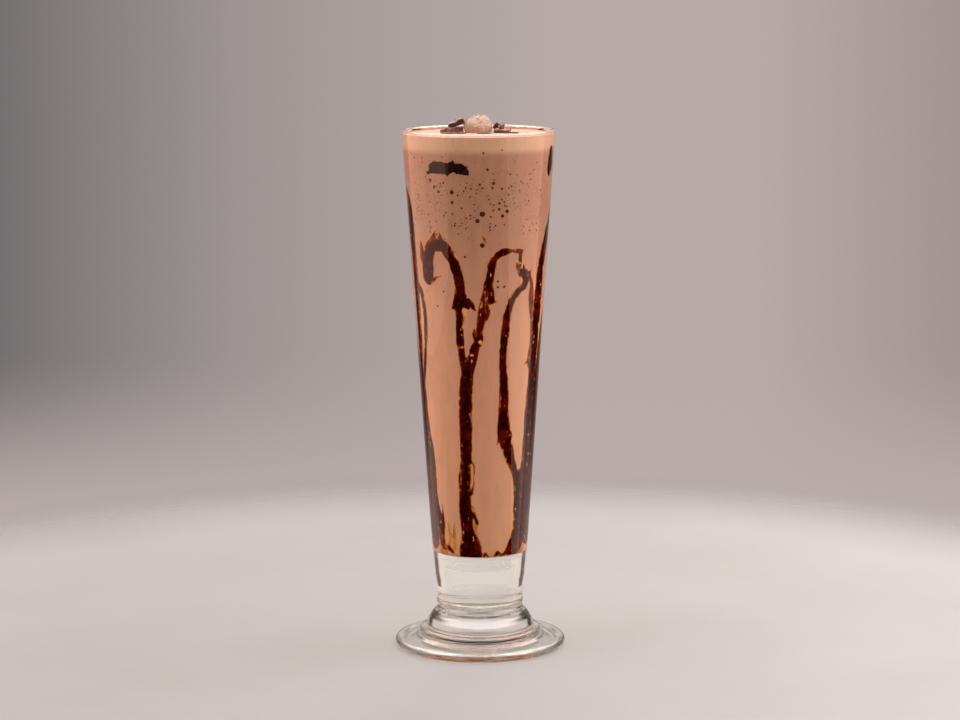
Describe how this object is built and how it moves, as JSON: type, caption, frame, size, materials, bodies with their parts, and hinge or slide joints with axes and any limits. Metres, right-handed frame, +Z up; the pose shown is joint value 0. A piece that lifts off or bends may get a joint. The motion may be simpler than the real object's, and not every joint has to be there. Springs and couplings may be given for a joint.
{
  "type": "chocolate smoothie in a footed glass",
  "caption": "Tall tapered pilsner glass on a solid stem and disc foot, filled almost to the lip with a foamy chocolate smoothie, with dark sauce runs inside the wall and chocolate on top.",
  "frame": {"origin": "middle of the ring that the foot stands on", "axes": "+Z up along the glass's axis, the side with the two arches of sauce faces -Y"},
  "size_m": [0.0772, 0.0772, 0.2414],
  "materials": {
    "clear_glass": "clear pressed soda-lime glass, fire polished",
    "smoothie": "milky chocolate drink with fine foam",
    "chocolate_sauce": "glossy, almost black chocolate syrup, red-brown where thin",
    "dark_chocolate": "broken dark chocolate",
    "lump": "soft pale lump wetted by the drink"
  },
  "bodies": {
    "root": {"glass": "clear_glass", "smoothie": "smoothie", "sauce_front": "chocolate_sauce", "sauce_left": "chocolate_sauce", "sauce_back_right": "chocolate_sauce", "sauce_back": "chocolate_sauce", "sauce_back_left": "chocolate_sauce", "shard_low": "dark_chocolate", "shard_high": "dark_chocolate", "chip_right": "dark_chocolate", "crumb_left": "dark_chocolate", "curl": "dark_chocolate", "chunk_front": "dark_chocolate", "chunk_side": "dark_chocolate", "lump": "lump"}
  },
  "joints": []
}
